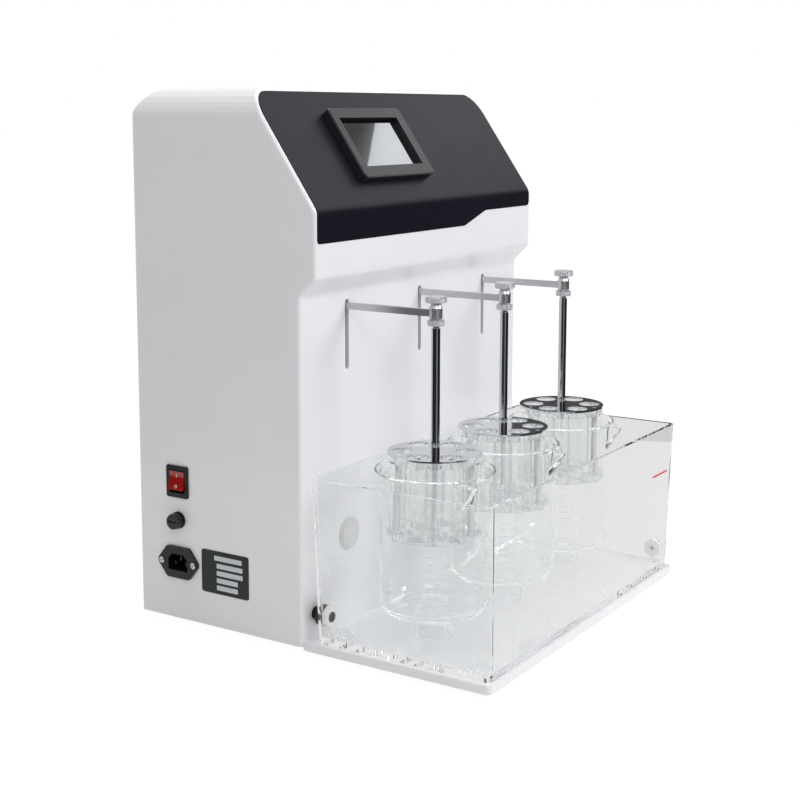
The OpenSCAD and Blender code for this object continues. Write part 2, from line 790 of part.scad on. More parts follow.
module drive_frame() {
    front = guide_y - 14;
    color("lightsteelblue")
        difference() {
            union() {
                frame_slab(frame_front, frame_back, base_top, shelf_high);
                frame_slab(front, frame_back, shelf_low - frame_t, shelf_low);
                frame_slab(front, frame_back, shelf_high - frame_t, shelf_high);
                frame_slab(frame_front, frame_back + 32, base_top, base_top + frame_t);
                for (x = [-1, 1])
                    translate([x * (frame_half - frame_t / 2), 0, shelf_low])
                        along_x(frame_t) polygon([[frame_front, 0], [frame_front, -60], [front, 0]]);
            }
            for (x = [-1, 1]) translate([x * guide_x, guide_y, shelf_low - frame_t - lap])
                cylinder(r = guide_r + fit, h = shelf_high - shelf_low + frame_t + 2 * lap);
            translate([0, 0, drive_z]) rod_y(frame_front - lap, frame_back + lap, motor_pilot_r + fit);
            translate([0, 0, idler_z]) rod_y(frame_front - lap, frame_back + lap, axle_r + fit);
            for (x = [-1, 1], z = [-1, 1])
                translate([x * motor_bolt, 0, drive_z + z * motor_bolt])
                    rod_y(frame_front - lap, frame_back + lap, 2.5 + fit);
            for (p = frame_feet)
                translate([p.x, p.y, base_top - lap]) cylinder(r = 2 + run, h = frame_t + 2 * lap);
        }
}

module guide_rods() {
    color("silver")
        for (x = [-1, 1])
            translate([x * guide_x, guide_y, shelf_low - frame_t])
                cylinder(r = guide_r, h = shelf_high - shelf_low + frame_t);
}

module motor() {
    shell_l = motor_l - 24;
    color([0.15, 0.15, 0.16])
        translate([0, 0, drive_z])
            difference() {
                union() {
                    along_y(frame_back, frame_back + 12) round_square(motor_side, motor_side, 4);
                    along_y(frame_back + 12, frame_back + 12 + shell_l) intersection() {
                        square(motor_side - 1, center = true);
                        rotate(45) square(motor_side * 1.25, center = true);
                    }
                    along_y(frame_back + 12 + shell_l, frame_back + motor_l)
                        round_square(motor_side, motor_side, 4);
                    rod_y(frame_back - 1.6, frame_back + lap, motor_pilot_r);
                }
                rod_y(frame_back - 3, frame_back + motor_l - 8, motor_shaft_r + run);
                for (x = [-1, 1], z = [-1, 1])
                    translate([x * motor_bolt, 0, z * motor_bolt])
                        rod_y(frame_back - lap, frame_back + 10, 2.5 + fit);
            }
}

module motor_shaft() {
    color("silver")
        translate([0, 0, drive_z])
            rod_y(belt_y - pulley_half - flange_t, frame_back + motor_l - 9, motor_shaft_r);
}

module toothed_pulley(bore, hub_r, hub_l) {
    step = 360 / pulley_teeth;
    depth = 1.1;
    tooth = [[0, 0], [0.22, 0], [0.34, 1], [0.66, 1], [0.78, 0]];
    difference() {
        union() {
            along_y(-pulley_half, pulley_half)
                polygon([for (i = [0 : pulley_teeth - 1]) each [for (t = tooth)
                    turned([tooth_r - depth * t.y, 0], (i + t.x) * step)]]);
            rod_y(-pulley_half - flange_t, -pulley_half, flange_r);
            rod_y(pulley_half, pulley_half + flange_t, flange_r);
            rod_y(pulley_half, pulley_half + flange_t + hub_l, hub_r);
        }
        rod_y(-pulley_half - 2 * flange_t, pulley_half + flange_t + hub_l + lap, bore);
    }
}

module drive_pulley() {
    color("gainsboro") translate([0, belt_y, drive_z]) toothed_pulley(motor_shaft_r + fit, 9, 3.5);
}

module idler_pulley() {
    color("gainsboro") translate([0, belt_y, idler_z]) toothed_pulley(axle_r + run, 7, 3);
}

module idler_axle() {
    front = belt_y - pulley_half - flange_t - clear;
    color("silver")
        translate([0, 0, idler_z]) {
            rod_y(front - 3, front, axle_r + 3);
            rod_y(front - 1, frame_back + 6, axle_r);
            translate([0, frame_back, 0]) rotate([-90, 0, 0]) cylinder(r = 8, h = 5, $fn = 6);
        }
}

module timing_belt() {
    color([0.08, 0.08, 0.08])
        along_y(belt_y - belt_w / 2, belt_y + belt_w / 2)
            difference() {
                belt_loop(belt_in_r + belt_t);
                belt_loop(belt_in_r);
            }
}

module belt_loop(r) {
    translate([0, drive_z]) circle(r);
    translate([0, idler_z]) circle(r);
    translate([0, (drive_z + idler_z) / 2]) square([2 * r, idler_z - drive_z], center = true);
}

module frame_screws() {
    color("dimgray") {
        for (p = frame_feet) translate([p.x, p.y, base_top + frame_t]) pan_screw(2, frame_t + 4.5);
        for (x = [-1, 1], z = [-1, 1])
            translate([x * motor_bolt, frame_front, drive_z + z * motor_bolt]) rotate([90, 0, 0])
                pan_screw(2.5, frame_t + 9);
    }
}

board_y = frame_back + 8;
board = [1.28 * frame_half, 1.6, 0.5 * (idler_z - drive_z)];
board_low = idler_z - motor_side / 2 - board.z + 12;

module control_board() {
    color("darkgreen") {
        translate([-board.x / 2, board_y, board_low]) cube(board);
        for (x = [-1, 1], z = [8, board.z - 8])
            translate([x * (board.x / 2 - 8), 0, board_low + z]) rod_y(frame_back, board_y + lap, 2.5);
    }
    color("dimgray") {
        box_between([-40, board_y + 1, board_low + 50], [-14, board_y + 16, board_low + 76]);
        box_between([10, board_y + 1, board_low + 12], [50, board_y + 12, board_low + 24]);
        for (x = [4, 20, 36]) translate([x, 0, board_low + 60]) rod_y(board_y + 1, board_y + 18, 6);
    }
}

cross_h = 16;
cross_front = guide_y - 8;
cross_back = guide_y + 8;
cross_low = arm_z - cross_h / 2;
cross_end = 13;   // crosshead left beyond the outer arms
pocket = 12;      // how deep an arm sits in the crosshead

module crosshead() {
    boss_r = bushing_r + 3.5;
    color("silver")
        difference() {
            union() {
                box_between([-station_pitch - cross_end, cross_front, cross_low],
                    [station_pitch + cross_end, cross_back, cross_low + cross_h]);
                for (x = [-1, 1]) translate([x * guide_x, guide_y, arm_z - bushing_l / 2])
                    cylinder(r = boss_r, h = bushing_l);
            }
            for (x = [-1, 1]) translate([x * guide_x, guide_y, arm_z - bushing_l / 2 - lap])
                cylinder(r = bushing_r + fit, h = bushing_l + 2 * lap);
            for (x = station_x)
                translate([x, cross_front + pocket / 2 - lap / 2, arm_z])
                    cube([arm_w + 2 * fit, pocket + lap, arm_h + 2 * fit], center = true);
            for (x = station_x) translate([x, cross_front + pocket / 2, arm_z])
                cylinder(r = 1.6, h = cross_h);
            for (z = [-1, 1])
                translate([belt_in_r + belt_t / 2, 0, arm_z + z * 4])
                    rod_y(cross_front - lap, cross_back + lap, 1.5 + fit);
        }
}

module bushings() {
    color("dimgray")
        for (x = [-1, 1])
            translate([x * guide_x, guide_y, arm_z - bushing_l / 2])
                ring(bushing_r, guide_r + run, bushing_l);
}

module belt_clamp() {
    jaw = 4.5;
    clamp_h = 22;
    inner = belt_in_r - clear;
    outer = belt_in_r + belt_t + clear;
    back = belt_y + belt_w / 2 + 1;
    gap_y = belt_y - belt_w / 2 - clear;
    color("goldenrod")
        difference() {
            translate([0, 0, arm_z - clamp_h / 2]) {
                box_between([inner - jaw, cross_back, 0], [outer + jaw, gap_y, clamp_h]);
                box_between([inner - jaw, gap_y - lap, 0], [inner, back, clamp_h]);
                box_between([outer, gap_y - lap, 0], [outer + jaw, back, clamp_h]);
            }
            for (z = [-1, 1])
                translate([belt_in_r + belt_t / 2, 0, arm_z + z * 4])
                    rod_y(cross_back - lap, cross_back + 4, 1.5 + fit);
        }
}

// Set screws that hold the arms, and screws that hold the belt clamp.
module carriage_screws() {
    high = arm_z + cross_h / 2;
    color("dimgray") {
        for (x = station_x)
            translate([x, cross_front + pocket / 2, high])
                pan_screw(1.6 - fit, cross_h / 2 - arm_h / 2 - fit);
        for (z = [-1, 1])
            translate([belt_in_r + belt_t / 2, cross_front, arm_z + z * 4])
                rotate([90, 0, 0]) pan_screw(1.5, cross_back - cross_front + 3);
    }
}

// Arms and hangers -----------------------------------------------------

eye_low = arm_z - arm_h / 2 - 2.8;
eye_high = arm_z + arm_h / 2 + 6.7;
nut_low = eye_low - nut_h;
rod_high = nut_low - 1.7;
knob_low = eye_high;

module arm(i) {
    color("lightgray")
        translate([station_x[i], 0, 0])
            difference() {
                union() {
                    box_between([-arm_w / 2, -reach, arm_z - arm_h / 2],
                        [arm_w / 2, cross_front + pocket - fit, arm_z + arm_h / 2]);
                    translate([0, -reach, 0])
                        rotate_extrude()
                            polygon([[0, eye_low], [eye_r - 1.5, eye_low], [eye_r, eye_low + 1.8],
                                [eye_r, arm_z + arm_h / 2 + 1.5], [eye_r - 0.6, arm_z + arm_h / 2 + 3.2],
                                [eye_r - 2, eye_high], [0, eye_high]]);
                }
                translate([0, -reach, eye_low - lap])
                    cylinder(r = stud_r + fit, h = eye_high - eye_low + 2 * lap);
            }
}

module hanger_rod(i) {
    foot_low = tube_top - plate_t;
    shoulder = 0.8;
    color("silver")
        translate([station_x[i], -reach, 0]) {
            translate([0, 0, foot_low]) cylinder(r = stud_r, h = disc_t + plate_t + lap);
            translate([0, 0, basket_top]) cylinder(r = rod_r, h = rod_high - basket_top - shoulder);
            translate([0, 0, rod_high - shoulder]) cylinder(r1 = rod_r, r2 = stud_r, h = shoulder);
            translate([0, 0, rod_high - lap])
                cylinder(r = stud_r, h = knob_low + knob_h - 1 - rod_high + lap);
        }
}

module lock_nuts() {
    color("silver")
        for (x = station_x)
            translate([x, -reach, nut_low]) knurled(nut_r, nut_h, stud_r + fit, 30);
}

module knob(i) {
    color("silver")
        translate([station_x[i], -reach, knob_low])
            union() {
                knurled(knob_r, knob_h, stud_r + run, 36);
                translate([0, 0, knob_h - 0.8]) cylinder(r = knob_r - 3, h = 0.8);
            }
}

// Baskets --------------------------------------------------------------

tube_top = basket_top - disc_t - rest;
tube_low = tube_top - tube_l;
tube_angles = [for (i = [0 : 5]) i * 60];
bolt_angles = [30, 150, 270];
bolt_ring_r = plate_r - 6;
bore_r = tube_r - tube_wall;
mesh_low = tube_low - rest - mesh_t;

module at_stations() {
    for (x = station_x) translate([x, -reach, 0]) children();
}

module round_about(angles, r) {
    for (a = angles) rotate(a) translate([r, 0, 0]) children();
}

module drilled_plate(h, hole, centre) {
    difference() {
        cylinder(r = plate_r, h = h, $fn = 96);
        translate([0, 0, -lap]) {
            round_about(tube_angles, tube_ring_r) cylinder(r = hole, h = h + 2 * lap);
            round_about(bolt_angles, bolt_ring_r) cylinder(r = bolt_r + fit, h = h + 2 * lap);
            if (centre > 0) cylinder(r = centre, h = h + 2 * lap);
        }
    }
}

module steel_discs() {
    color("silver")
        at_stations()
            translate([0, 0, basket_top - disc_t]) drilled_plate(disc_t, bore_r + 0.25, stud_r + fit);
}

module upper_plates() {
    color([0.9, 0.95, 1, 0.4])
        at_stations()
            translate([0, 0, tube_top - plate_t]) drilled_plate(plate_t, tube_r + fit, stud_r + fit);
}

module lower_plates() {
    color([0.9, 0.95, 1, 0.4])
        at_stations() translate([0, 0, tube_low]) drilled_plate(plate_t, tube_r + fit, 0);
}

module tubes(i) {
    color([0.9, 0.95, 1, 0.4])
        translate([station_x[i], -reach, tube_low])
            round_about(tube_angles, tube_ring_r) ring(tube_r, bore_r, tube_l);
}

module mesh_discs() {
    color("gray")
        at_stations()
            translate([0, 0, mesh_low])
                difference() {
                    cylinder(r = plate_r - 1.5, h = mesh_t);
                    translate([0, 0, -lap])
                        round_about(bolt_angles, bolt_ring_r)
                            cylinder(r = bolt_r + fit, h = mesh_t + 2 * lap);
                }
}

module basket_bolts() {
    head_h = 2.2;
    spacer_l = tube_l - 2 * (plate_t + rest);
    color("silver")
        at_stations()
            round_about(bolt_angles, bolt_ring_r) {
                translate([0, 0, mesh_low - head_h]) cylinder(r = bolt_r * 1.8, h = head_h);
                translate([0, 0, mesh_low]) cylinder(r = bolt_r, h = basket_top - mesh_low);
                translate([0, 0, tube_low + plate_t + rest]) cylinder(r = bolt_r + 1, h = spacer_l);
            }
}

// Water bath -----------------------------------------------------------

tank_back = -tank_gap;
tank_w = housing_w - 2 * tank_inset;
tank_mid = tank_back - tank_d / 2;
tank_low = base_top + rest;
tank_top = base_top + tank_h;
bath_floor = tank_low + tank_floor;
draft_y = tank_draft / 2;

// Slab of the tank's plan, drawn in by d on the ends and half of that on the long sides.
module tank_slab(z, d, skin, r) {
    translate([0, tank_mid, z])
        linear_extrude(0.01) round_square(tank_w - 2 * (d + skin), tank_d - 2 * (d / 2 + skin), r, $fn = 32);
}

disc_r = 12;
disc_h = 2.2;
disc_x = tank_w / 2 - tank_draft - tank_wall - disc_r - 2;
disc_places = [for (x = [-disc_x, disc_x], y = [-1, 1])
    [x, tank_mid + y * (tank_d / 2 - draft_y - tank_wall - disc_r - 2)]];
drain_z = base_top + 19.5;
drain_y = tank_mid - tank_d / 2 + 20;
drain_wall = tank_w / 2 - tank_draft * (1 - (drain_z - base_top) / tank_h);

module water_tank() {
    color([0.85, 0.9, 0.95, 0.35])
        difference() {
            hull() {
                tank_slab(tank_low, tank_draft, 0, tank_r);
                tank_slab(tank_top - 0.01, 0, 0, tank_r);
            }
            hull() {
                tank_slab(bath_floor, tank_draft, tank_wall, tank_r - tank_wall + 1);
                tank_slab(tank_top + lap, 0, tank_wall, tank_r - tank_wall + 1);
            }
            translate([bath_x, 0, bath_z]) rod_y(tank_back - 3 * tank_wall, tank_back + lap, pipe_r + fit);
            translate([0, drain_y, drain_z])
                rod_x(tank_w / 2 - 4 * tank_wall, tank_w / 2 + lap, pipe_r + fit);
        }
}

module tank_discs() {
    color([0.9, 0.95, 1, 0.5])
        for (p = disc_places)
            translate([p.x, p.y, bath_floor + rest])
                difference() {
                    union() {
                        cylinder(r = disc_r, h = disc_h - 0.6);
                        translate([0, 0, disc_h - 0.6]) cylinder(r1 = disc_r, r2 = disc_r - 0.8, h = 0.6);
                    }
                    translate([0, 0, disc_h - 0.8]) cylinder(r = disc_r * 0.6, h = 2);
                    translate([0, 0, -lap]) cylinder(r = 2, h = disc_h + 2 * lap);
                }
}

bath_in = tank_back - draft_y - tank_wall;   // inner face of the tank's back wall at its floor
bath_out = tank_back - draft_y * (1 - (bath_z - base_top) / tank_h) + 0.1;

// Black bulkhead pipe from the tank through the tower's wall.
module bath_fitting() {
    color([0.1, 0.1, 0.1])
        translate([bath_x, 0, bath_z])
            difference() {
                union() {
                    rod_y(bath_in - 6, wall + 22, pipe_r);
                    rod_y(bath_out, bath_out + 4, 10.5);
                }
                rod_y(bath_in - 7, wall + 23, pipe_r - 1.5);
            }
}

module hex_nut(af, h, bore) {
    difference() {
        cylinder(r = af / sqrt(3), h = h, $fn = 6);
        translate([0, 0, -lap]) cylinder(r = bore, h = h + 2 * lap);
    }
}

module bath_nut() {
    color([0.9, 0.9, 0.88])
        translate([bath_x, bath_in - clear, bath_z]) rotate([90, 30, 0]) hex_nut(18.5, 5, pipe_r + fit);
}

module drain_nut() {
    color("white")
        translate([drain_wall - tank_wall - 3 * clear, drain_y, drain_z])
            rotate([0, -90, 0]) hex_nut(18, 5, pipe_r + fit);
}

module drain_plug() {
    color("white")
        translate([0, drain_y, drain_z])
            difference() {
                union() {
                    rod_x(drain_wall - tank_wall - 6.5, drain_wall + 2, pipe_r);
                    rod_x(drain_wall + 0.4, drain_wall + 3.6, 9);
                }
                rod_x(drain_wall - tank_wall - 8, drain_wall + 1, pipe_r - 2.4);
            }
}

module port_plug() {
    color("gray")
        translate([port_x, 0, port_z]) {
            rod_y(-2.2, 0, port_r);
            rod_y(-3, -2.2, port_r - 2);
            rod_y(-1, wall + 4, port_r - 4 - fit);
        }
}

module pedestals() {
    color([0.9, 0.95, 1, 0.5])
        at_stations()
            translate([0, 0, bath_floor + rest]) ring(pedestal_r, pedestal_r - 4, pedestal_h - rest);
}

// Beakers --------------------------------------------------------------

beaker_low = bath_floor + pedestal_h + rest;
spout_turns = [-115, -84, -80];   // the beakers stand turned as they were put in

// Half section of a beaker's body, drawn in by a wall, up to where its rim flares out.
function beaker_half(r, foot, skin) = concat(
    [[0, skin]],
    [for (a = [-90 : 18 : 0]) [r - foot + (foot - skin) * cos(a), foot + (foot - skin) * sin(a)]]);

module beaker(i) {
    rim_r = beaker_r + rim_flare;
    lip = beaker_r - beaker_wall;
    flare_low = beaker_h - 9;
    color([0.9, 0.95, 1, 0.35])
        translate([station_x[i], -reach, beaker_low])
            difference() {
                union() {
                    rotate_extrude($fn = 96)
                        polygon(concat(beaker_half(beaker_r, beaker_foot_r, 0),
                            [[beaker_r, flare_low], [beaker_r + 1.5, beaker_h - 4.5],
                                [rim_r - 0.6, beaker_h - 1.6], [rim_r, beaker_h - 0.8],
                                [rim_r - 0.8, beaker_h], [0, beaker_h]]));
                    rotate(spout_turns[i]) spout(rim_r, 0);
                }
                rotate_extrude($fn = 96)
                    polygon(concat(beaker_half(beaker_r, beaker_foot_r, beaker_wall),
                        [[lip, flare_low], [lip + 1.5, beaker_h - 3.4],
                            [rim_r - 2.2, beaker_h], [rim_r - 2.2, beaker_h + lap], [0, beaker_h + lap]]));
                rotate(spout_turns[i]) spout(rim_r, beaker_wall);
            }
}

// Pouring spout, drawn in by a wall of glass. Its lip hangs a little below the rim.
module spout(rim_r, skin) {
    drop = 30;
    droop = 4.5;
    tip_r = 4;
    root_r = 5;
    mouth = 34;       // width of the spout where it leaves the rim
    high = skin > 0 ? beaker_h + lap : beaker_h - 0.4;
    rim_low = beaker_h - 3 + skin;
    hull() {
        translate([spout_reach - tip_r, 0, rim_low - droop])
            cylinder(r = tip_r - 0.7 * skin, h = high - rim_low, $fn = 24);
        translate([rim_r - 10, 0, rim_low])
            linear_extrude(high - rim_low) square([2, mouth - 2 * skin], center = true);
        translate([beaker_r - root_r - 0.4 - skin, 0, beaker_h - drop + 1.5 * skin])
            cylinder(r = root_r - 0.7 * skin, h = 1, $fn = 24);
    }
}

// Circulation ----------------------------------------------------------

pump = [44, 62, 46];
pump_y = wall + 48;

module circulation_pump() {
    low = [bath_x - 10, pump_y, base_top];
    color("dimgray") {
        translate(low) cube([pump.x, pump.y * 0.4, pump.z]);
        translate([low.x + pump.x / 2, 0, base_top + pump.z / 2])
            rod_y(pump_y + pump.y * 0.4 - lap, pump_y + pump.y, pump.z / 2 - 2);
        translate([bath_x, 0, bath_z]) rod_y(pump_y - 18, pump_y + lap, pipe_r);
    }
}

module pump_hose() {
    color([0.85, 0.85, 0.8])
        translate([bath_x, 0, bath_z])
            difference() {
                rod_y(wall + 6, pump_y - 2, pipe_r + 2);
                rod_y(wall + 5, pump_y - 1, pipe_r + run);
            }
}

// Assembly -------------------------------------------------------------

module centred() { translate([mid_x, 0, 0]) children(); }

centred() base_plate();
centred() feet();
centred() housing_shell();
centred() rear_panel();
centred() panel_screws();
centred() front_panel();
centred() screen_bezel();
centred() touch_screen();
centred() screen_box();
centred() switch_body();
centred() rocker();
centred() fuse_holder();
centred() fuse_cap();
centred() power_inlet();
centred() power_supply();
centred() control_board();
centred() drive_frame();
centred() guide_rods();
centred() motor();
centred() motor_shaft();
centred() drive_pulley();
centred() idler_axle();
centred() idler_pulley();
centred() timing_belt();
centred() frame_screws();
centred() water_tank();
centred() tank_discs();
centred() bath_fitting();
centred() bath_nut();
centred() drain_nut();
centred() drain_plug();
centred() port_plug();
centred() pedestals();
centred() beaker(0);  // beaker_1
centred() beaker(1);  // beaker_2
centred() beaker(2);  // beaker_3
centred() circulation_pump();
centred() pump_hose();
centred() crosshead();
centred() bushings();
centred() belt_clamp();
centred() carriage_screws();
centred() arm(0);  // arm_1
centred() arm(1);  // arm_2
centred() arm(2);  // arm_3
centred() hanger_rod(0);  // hanger_rod_1
centred() hanger_rod(1);  // hanger_rod_2
centred() hanger_rod(2);  // hanger_rod_3
centred() lock_nuts();
centred() knob(0);  // knob_1
centred() knob(1);  // knob_2
centred() knob(2);  // knob_3
centred() steel_discs();
centred() upper_plates();
centred() lower_plates();
centred() tubes(0);  // tubes_1
centred() tubes(1);  // tubes_2
centred() tubes(2);  // tubes_3
centred() mesh_discs();
centred() basket_bolts();
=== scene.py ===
from math import cos, pi, radians, sin

import bmesh
import bpy
from mathutils import Matrix, Vector


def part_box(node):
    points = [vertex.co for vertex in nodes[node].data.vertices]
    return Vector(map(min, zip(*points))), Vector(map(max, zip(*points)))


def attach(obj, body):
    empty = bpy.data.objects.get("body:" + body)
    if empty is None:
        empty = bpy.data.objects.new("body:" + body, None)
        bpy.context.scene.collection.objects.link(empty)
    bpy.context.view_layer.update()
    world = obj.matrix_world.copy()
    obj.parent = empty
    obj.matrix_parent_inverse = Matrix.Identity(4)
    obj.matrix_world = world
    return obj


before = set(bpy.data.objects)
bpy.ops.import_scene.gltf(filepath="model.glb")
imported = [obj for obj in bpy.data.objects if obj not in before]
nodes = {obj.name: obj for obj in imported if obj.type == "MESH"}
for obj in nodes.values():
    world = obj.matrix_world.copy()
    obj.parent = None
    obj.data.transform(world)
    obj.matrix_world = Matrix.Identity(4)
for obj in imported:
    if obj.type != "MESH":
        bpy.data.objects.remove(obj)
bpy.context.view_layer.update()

scene = bpy.context.scene


# Camera ---------------------------------------------------------------

def heading(yaw, dip):
    """Direction that many degrees from +X towards +Y, and below the horizon."""
    yaw, dip = radians(yaw), radians(dip)
    return Vector((cos(dip) * cos(yaw), cos(dip) * sin(yaw), -sin(dip)))


camera = bpy.data.objects.new("camera", bpy.data.cameras.new("camera"))
scene.collection.objects.link(camera)
camera.data.lens = 65.731
camera.data.sensor_width = 36
camera.data.shift_x = 0.0293
camera.data.shift_y = -0.10
camera.data.clip_start = 0.05
camera.location = (-1.2725, -0.7809, 0.5087)
camera.rotation_euler = heading(33.139, 8.079).to_track_quat("-Z", "Y").to_euler()
scene.camera = camera


# Shader maths ---------------------------------------------------------

class Amount:
    """A number that changes over a surface. An expression on amounts adds its Math nodes."""

    def __init__(self, tree, socket):
        self.tree, self.socket = tree, socket

    def reckon(self, operation, *terms):
        return self.tree.node("ShaderNodeMath", {"operation": operation}, dict(enumerate(terms)))

    def __add__(self, other):
        return self.reckon("ADD", self, other)

    __radd__ = __add__

    def __mul__(self, other):
        return self.reckon("MULTIPLY", self, other)

    __rmul__ = __mul__

    def __sub__(self, other):
        return self.reckon("SUBTRACT", self, other)

    def __rsub__(self, other):
        return self.reckon("SUBTRACT", other, self)

    def __gt__(self, other):
        return self.reckon("GREATER_THAN", self, other)

    def either(self, other):
        return self.reckon("MAXIMUM", self, other)

    def wave(self, period):
        """Sine of the amount, from 0 to 1, with that period."""
        return self.reckon("SINE", self * (2 * pi / period)) * 0.5 + 0.5


class Tree:
    """A node tree, such as a material's, in which any node is made by one call."""

    def __init__(self, tree):
        self.tree = tree

    def node(self, kind, settings=None, sockets=None, out=0):
        made = self.tree.nodes.new(kind)
        for name, value in (settings or {}).items():
            setattr(made, name, value)
        for name, value in (sockets or {}).items():
            self.join(made.inputs[name], value)
        return Amount(self, made.outputs[out])

    def join(self, socket, value):
        if isinstance(value, Amount):
            self.tree.links.new(value.socket, socket)
        else:
            socket.default_value = value


def shade(red, green, blue):
    """A colour from its screen values, 0 to 255."""
    return tuple((v / 255 / 12.92 if v <= 10 else ((v / 255 + 0.055) / 1.055) ** 2.4)
                 for v in (red, green, blue)) + (1.0,)


class Finish(Tree):
    """A material around one Principled shader."""

    def __init__(self, name, **plain):
        self.material = bpy.data.materials.new(name)
        self.material.use_nodes = True
        super().__init__(self.material.node_tree)
        self.shader = self.tree.nodes["Principled BSDF"]
        self.where = self.node("ShaderNodeTexCoord", out="Object")
        for name, value in plain.items():
            self.set(name.replace("_", " "), value)

    def set(self, name, value):
        self.join(self.shader.inputs[name], value)

    def axes(self):
        split = self.node("ShaderNodeSeparateXYZ", None, {0: self.where}).socket.node
        return [Amount(self, split.outputs[i]) for i in range(3)]

    def grain(self, size, detail=2.0, rough=0.5, stretch=(1, 1, 1)):
        """Noise, about 0 to 1, with features of that size in metres, longer along a small stretch."""
        spread = self.node("ShaderNodeMapping", None, {"Vector": self.where, "Scale": stretch})
        return self.node("ShaderNodeTexNoise", None, {"Vector": spread, "Scale": 1 / size,
                                                      "Detail": detail, "Roughness": rough})

    def mix(self, first, second, share):
        made = self.node("ShaderNodeMix", {"data_type": "RGBA"}, {"Factor": share}).socket.node
        self.join(made.inputs[6], first)
        self.join(made.inputs[7], second)
        return Amount(self, made.outputs[2])

    def relief(self, height, depth, strength=1.0):
        """Bumps of that depth in metres, from a height that runs from 0 to 1."""
        self.set("Normal", self.node("ShaderNodeBump", None, {"Height": height, "Distance": depth,
                                                             "Strength": strength}))

    def on(self, *names):
        for name in names:
            for place in nodes[name].material_slots:
                place.material = self.material


def steel(name, colour, rough, stretch, size=0.0006, depth=0.00002):
    """Ground or polished steel, with grain that runs along the small stretch."""
    made = Finish(name, Metallic=1.0)
    lines = made.grain(size, 3, 0.6, stretch)
    smudge = made.grain(0.03, 3)
    made.set("Base Color", made.mix(colour, tuple(0.86 * c for c in colour[:3]) + (1,), smudge))
    made.set("Roughness", rough + 0.5 * rough * (lines - 0.5) + 0.4 * rough * (smudge - 0.5))
    made.relief(lines, depth)
    return made


def moulded(name, colour, rough, size=0.0004, depth=0.00003, tone=0.9, **plain):
    """Moulded plastic with a fine spark-eroded grain."""
    made = Finish(name, **plain)
    grain = made.grain(size, 2)
    cloud = made.grain(0.02, 3)
    made.set("Base Color", made.mix(colour, tuple(tone * c for c in colour[:3]) + (1,), cloud))
    made.set("Roughness", rough + 0.1 * (cloud - 0.5) + 0.06 * (grain - 0.5))
    made.relief(grain, depth)
    return made


def clear(name, colour, ior):
    """Clear acrylic or glass. Handling leaves faint smears, which only touch the gloss."""
    made = Finish(name, Transmission_Weight=1.0, IOR=ior, Base_Color=colour)
    made.set("Roughness", 0.0042 * made.grain(0.018, 4, 0.6))
    made.relief(made.grain(0.03, 1), 0.00003, 0.5)
    return made


# Finishes of the housing and the base ---------------------------------

WHITE = shade(232, 233, 236)

gelcoat = Finish("white_gelcoat", Coat_Weight=0.25, Coat_Roughness=0.08)
peel = gelcoat.grain(0.0035, 2)
dust = gelcoat.grain(0.08, 4)
gelcoat.set("Base Color", gelcoat.mix(WHITE, shade(226, 227, 229), dust))
gelcoat.set("Roughness", 0.36 + 0.08 * (dust - 0.5))
gelcoat.relief(peel, 0.00006)
gelcoat.on("housing_shell")

slab = Finish("white_base_enamel", Coat_Weight=0.3, Coat_Roughness=0.12)
ripple = slab.grain(0.005, 2)
slab.set("Base Color", slab.mix(WHITE, shade(228, 229, 230), slab.grain(0.06, 3)))
slab.set("Roughness", 0.34 + 0.08 * (ripple - 0.5))
slab.relief(ripple, 0.00005)
slab.on("base_plate")

powder = moulded("grey_powder_coat", shade(196, 198, 200), 0.55, 0.0009, 0.00008, 0.94)
powder.on("rear_panel")

rubber = moulded("black_rubber", shade(34, 34, 35), 0.8, 0.0012, 0.00008)
rubber.on("feet")


# Finishes of the panel and the screen ---------------------------------

film = moulded("blue_black_film", shade(14, 14, 26), 0.36, 0.00035, 0.00002, 0.92,
               Specular_IOR_Level=0.22)
film.on("front_panel")

satin = moulded("satin_black_frame", shade(28, 28, 34), 0.3, 0.0003, 0.00002, 0.9)
satin.on("screen_bezel", "screen_box")

glass_dark = Finish("dark_display_glass", Coat_Roughness=0.02, Coat_IOR=1.6, Roughness=0.12)
glass_dark.set("Base Color",
               glass_dark.mix(shade(4, 5, 7), shade(9, 9, 11), glass_dark.grain(0.05, 1)))
glass_dark.set("Coat Weight", 1.0 - 0.05 * glass_dark.grain(0.01, 4))
glass_dark.on("touch_screen")


# Finishes of the controls on the left side ----------------------------

nylon = moulded("black_nylon", shade(16, 18, 20), 0.36, 0.0004, 0.00004, Specular_IOR_Level=0.35)
nylon.on("switch_body", "fuse_holder", "power_inlet", "bath_fitting")
cap_black = moulded("black_cap", shade(20, 20, 21), 0.25, 0.0004, 0.00002, Specular_IOR_Level=0.4)
cap_black.on("fuse_cap")
rocker_red = moulded("red_rocker", shade(160, 18, 10), 0.2, 0.002, 0.00001, 0.7,
                     Coat_Weight=0.4, Coat_Roughness=0.05)
rocker_red.on("rocker")


# Finishes of the bath and the beakers ---------------------------------

ACRYLIC_NODES = ("water_tank", "tank_discs", "pedestals", "upper_plates", "lower_plates")
GLASS_NODES = ("beaker_1", "beaker_2", "beaker_3", "tubes_1", "tubes_2", "tubes_3")
acrylic = clear("clear_acrylic", (0.958, 0.963, 0.965, 1), 1.49)
acrylic.on(*ACRYLIC_NODES)
borosilicate = clear("borosilicate_glass", (0.985, 0.99, 0.988, 1), 1.47)
borosilicate.on(*GLASS_NODES)
translucent = moulded("natural_nylon", shade(248, 248, 247), 0.35, 0.001, 0.00003, 0.97,
                      Transmission_Weight=0.2, Subsurface_Weight=0.2, Subsurface_Scale=0.004)
translucent.on("bath_nut", "drain_nut", "drain_plug", "pump_hose")
soft_grey = moulded("soft_grey_rubber", shade(205, 206, 207), 0.6, 0.001, 0.00005, 0.96)
soft_grey.on("port_plug")


# Finishes of the carriage and the baskets -----------------------------

